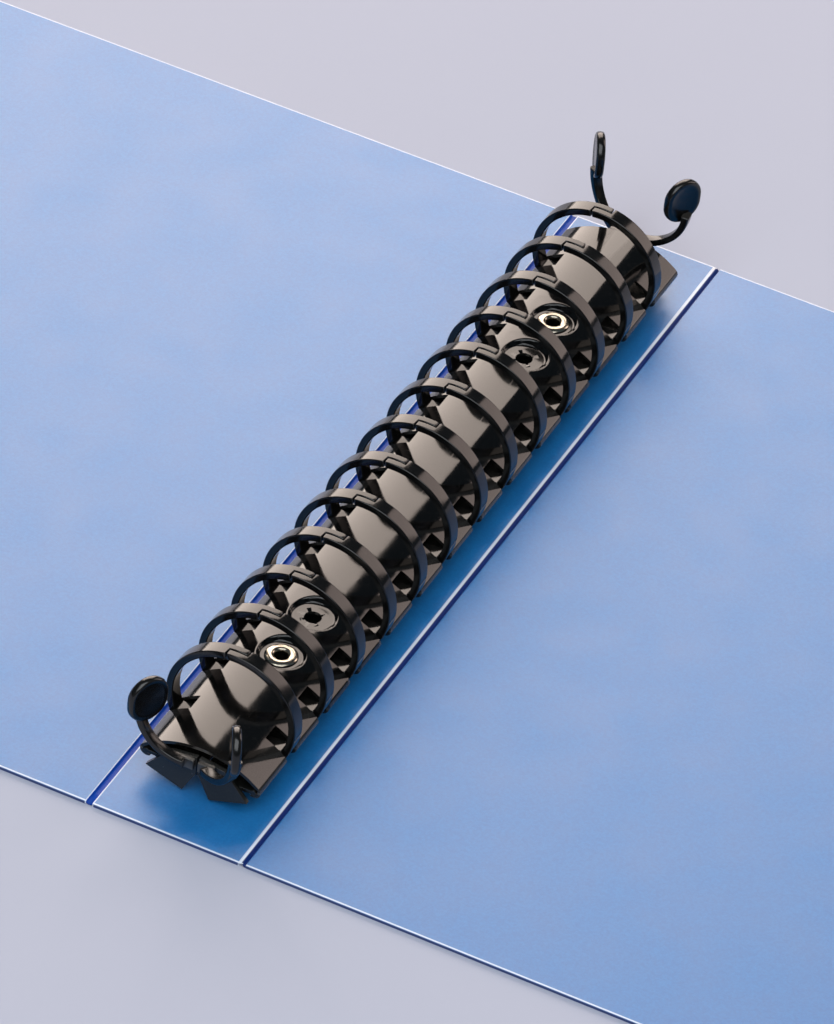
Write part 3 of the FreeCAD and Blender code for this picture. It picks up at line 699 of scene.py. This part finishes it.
def build_shield():
    """The pressed steel shield: arch, curled lips, ring slots and four dimples."""
    profile = shield_profile()
    half = len(profile) // 2
    rows = shield_rows()
    bm = bmesh.new()
    grid = [[bm.verts.new((p.x, y, p.z)) for p in profile] for y in rows]
    # how many cells out from the middle one a slot starts
    slot_start = next(i for i, p in enumerate(profile[half:]) if abs(p.x - SLOT_INNER) < 1e-6)
    for row, (y0, y1) in enumerate(zip(rows, rows[1:])):
        middle = (y0 + y1) / 2
        in_slot = any(abs(middle - place) < SLOT_HALF for place in RING_PLACES)
        in_patch = any(abs(middle - place) < PATCH for place, _ in DIMPLES)
        for column in range(len(profile) - 1):
            out = column - half if column >= half - 1 else half - 2 - column
            if in_slot and out >= slot_start:
                continue
            if in_patch and abs((profile[column].x + profile[column + 1].x) / 2) < PATCH:
                continue
            bm.faces.new((grid[row][column], grid[row][column + 1],
                          grid[row + 1][column + 1], grid[row + 1][column]))
    for place, hole in DIMPLES:
        add_dimple(bm, grid, profile, rows, place, hole)
    bmesh.ops.delete(bm, geom=[v for v in bm.verts if not v.link_faces], context="VERTS")
    bmesh.ops.recalc_face_normals(bm, faces=bm.faces)
    top = max(bm.faces, key=lambda face: face.calc_center_median().z)
    if top.normal.z < 0:
        bmesh.ops.reverse_faces(bm, faces=bm.faces)
    mesh = bpy.data.meshes.new("shield_plate")
    bm.to_mesh(mesh)
    bm.free()
    item = new_object("shield_plate", mesh, shield_black)
    smooth(item)
    solid = item.modifiers.new("sheet", "SOLIDIFY")
    solid.thickness = SHIELD_SHEET
    solid.offset = -1
    solid.use_even_offset = True
    soften(apply_modifiers(item), SHIELD_EDGE, angle=40.0)
    stand_in(item, "base", "shield_paint", "shield")


def add_dimple(bm, grid, profile, rows, place, hole):
    """A round dimple with a hole, inside a square patch of the shield's grid."""
    across = [i for i, p in enumerate(profile) if abs(p.x) < PATCH + 1e-6]
    along = [i for i, y in enumerate(rows) if abs(y - place) < PATCH + 1e-6]
    border = [grid[along[0]][c] for c in across]
    border += [grid[r][across[-1]] for r in along[1:]]
    border += [grid[along[-1]][c] for c in reversed(across[:-1])]
    border += [grid[r][across[0]] for r in reversed(along[1:-1])]
    directions = [Vector((v.co.x, v.co.y - place, 0)).normalized() for v in border]
    previous = border
    for radius, drop in [(r * MM, share) for r, share in DIMPLE_WALL] + [(hole, 1.0)]:
        ring = []
        for direction in directions:
            x, y = direction.x * radius, place + direction.y * radius
            surface = arch_height(x)
            ring.append(bm.verts.new((x, y, surface + (DIMPLE_FLOOR - surface) * drop)))
        bridge(bm, previous, ring)
        previous = ring


# ---------------------------------------------------------------- rivets
# radius and height in mm: from the bore over the rolled head, measured from the head's top
RIVET_HEAD = (
    (2.0, -1.2), (2.04, -0.7), (2.2, -0.32), (2.5, -0.1), (2.95, 0.0), (3.5, -0.02), (4.05, -0.12),
    (4.5, -0.32), (4.75, -0.55), (4.78, -0.76), (3.0, -0.79),
)
# radius and height in mm: on round the foot and back to the bore, measured from the underside
RIVET_FOOT = ((3.0, 0.5), (4.7, 0.45), (4.78, 0.25), (4.6, 0.0), (2.0, 0.1))


def build_rivet(end, place):
    """A bright tubular rivet: its rolled head sits in a dimple of the shield."""
    low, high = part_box(f"{end}_rivet")
    outline = [(radius * MM, high.z + height * MM) for radius, height in RIVET_HEAD]
    outline += [(radius * MM, low.z + height * MM) for radius, height in RIVET_FOOT]
    bm = bmesh.new()
    lathe(bm, outline, place, segments=64)
    item = from_bmesh(f"{end}_eyelet", bm, rivet_chrome)
    smooth(item)
    item.modifiers.new("normals", "WEIGHTED_NORMAL").weight = 80
    stand_in(apply_modifiers(item), "base", "rivet_plating", f"{end}_rivet")


build_spine()
for side, sign in SIDES.items():
    build_cover(side, sign)
build_shield()
for side, sign in SIDES.items():
    build_groove(side, sign)
    build_carrier(side)
    for number in range(1, RINGS + 1):
        build_half_ring(side, sign, number)
    for end, way in ENDS.items():
        build_ear(side, end, sign, way)
for end, place in zip(ENDS, RIVET_PLACES):
    build_rivet(end, place)
    tube = frame["nodes"][f"{end}_rivet_spacer"]
    tube.data.materials.clear()
    tube.data.materials.append(spacer_steel)


# ---------------------------------------------------------------- floor, light and camera
def build_floor():
    """A plain pale floor."""
    bpy.ops.mesh.primitive_plane_add(size=8, location=(0, 0, -0.02 * MM))
    floor = bpy.context.object
    floor.name = "floor"
    made, link, shader, node = material("floor_paper")
    shader.inputs["Roughness"].default_value = 0.75
    shader.inputs["Specular IOR Level"].default_value = 0.2
    place = node("ShaderNodeTexCoord")
    cloud = node("ShaderNodeTexNoise", Scale=5.0, Detail=3.0)
    link(place.outputs["Object"], cloud.inputs["Vector"])
    tone = ramp(node, 0.3, 0.7, (0.455, 0.475, 0.572), (0.472, 0.492, 0.590))
    link(cloud.outputs["Fac"], tone.inputs["Fac"])
    link(tone.outputs["Color"], shader.inputs["Base Color"])
    floor.data.materials.append(made)


def bearing(azimuth, elevation):
    """A direction: azimuth in degrees from +Y towards +X, and elevation above the floor."""
    turn, rise = math.radians(azimuth), math.radians(elevation)
    return Vector((
        math.sin(turn) * math.cos(rise), math.cos(turn) * math.cos(rise), math.sin(rise),
    ))


def area_light(name, towards, distance, size, power, colour, diffuse, gloss):
    """A soft rectangular lamp that faces the file, with shares of its matt and glossy light."""
    data = bpy.data.lights.new(name, "AREA")
    data.shape = "RECTANGLE"
    data.size, data.size_y = size
    data.energy = power
    data.color = colour
    data.diffuse_factor = diffuse
    data.specular_factor = gloss
    lamp = bpy.data.objects.new(name, data)
    bpy.context.scene.collection.objects.link(lamp)
    direction = towards.normalized()
    lamp.location = direction * distance
    lamp.rotation_mode = "QUATERNION"
    lamp.rotation_quaternion = direction.to_track_quat("Z", "Y")


def build_lights():
    """Two tall warm panels behind, seen in the gloss, a soft fill above and a dim cool room."""
    area_light("left_panel", bearing(-32, 27), 2.0, (1.62, 1.60), power=45.0,
               colour=(1.0, 0.85, 0.75), diffuse=0.08, gloss=1.0)
    area_light("right_panel", bearing(35, 25), 2.0, (0.78, 1.40), power=9.5,
               colour=(1.0, 0.80, 0.72), diffuse=0.08, gloss=1.0)
    area_light("overhead", Vector((0.15, -0.65, 1.0)), 2.4, (2.4, 2.4), power=60.0,
               colour=(0.93, 0.97, 1.0), diffuse=1.0, gloss=0.0)
    world = bpy.data.worlds.new("room")
    bpy.context.scene.world = world
    world.use_nodes = True
    background = world.node_tree.nodes["Background"]
    background.inputs["Color"].default_value = (0.55, 0.78, 1.0, 1)
    background.inputs["Strength"].default_value = 0.09


# the viewing angle of the photograph, in degrees, what the camera faces and from how far
VIEW_TURN, VIEW_RISE, VIEW_ROLL = 22.6868, 40.0269, 6.1007
VIEW_CENTRE = Vector((-0.00218, 0.00469, 0.0012))
VIEW_DISTANCE = 2.3765
VIEW_LENS, VIEW_FILM = 295.6, 36  # in mm


def build_camera():
    """The viewing angle: above the near end, turned a little to the right."""
    turn, rise, roll = (math.radians(a) for a in (VIEW_TURN, VIEW_RISE, VIEW_ROLL))
    back = Vector((math.sin(turn) * math.cos(rise), -math.cos(turn) * math.cos(rise),
                   math.sin(rise)))
    right = Vector((math.cos(turn), math.sin(turn), 0))
    up = back.cross(right)
    axes = Matrix((
        right * math.cos(roll) + up * math.sin(roll),
        up * math.cos(roll) - right * math.sin(roll),
        back,
    ))
    data = bpy.data.cameras.new("camera")
    data.lens = VIEW_LENS
    data.sensor_width = VIEW_FILM
    data.dof.use_dof = False
    camera = bpy.data.objects.new("camera", data)
    bpy.context.scene.collection.objects.link(camera)
    place = Matrix.Translation(VIEW_CENTRE + back * VIEW_DISTANCE)
    camera.matrix_world = place @ axes.transposed().to_4x4()
    bpy.context.scene.camera = camera
    bpy.context.scene.view_settings.view_transform = "Standard"


build_floor()
build_lights()
build_camera()
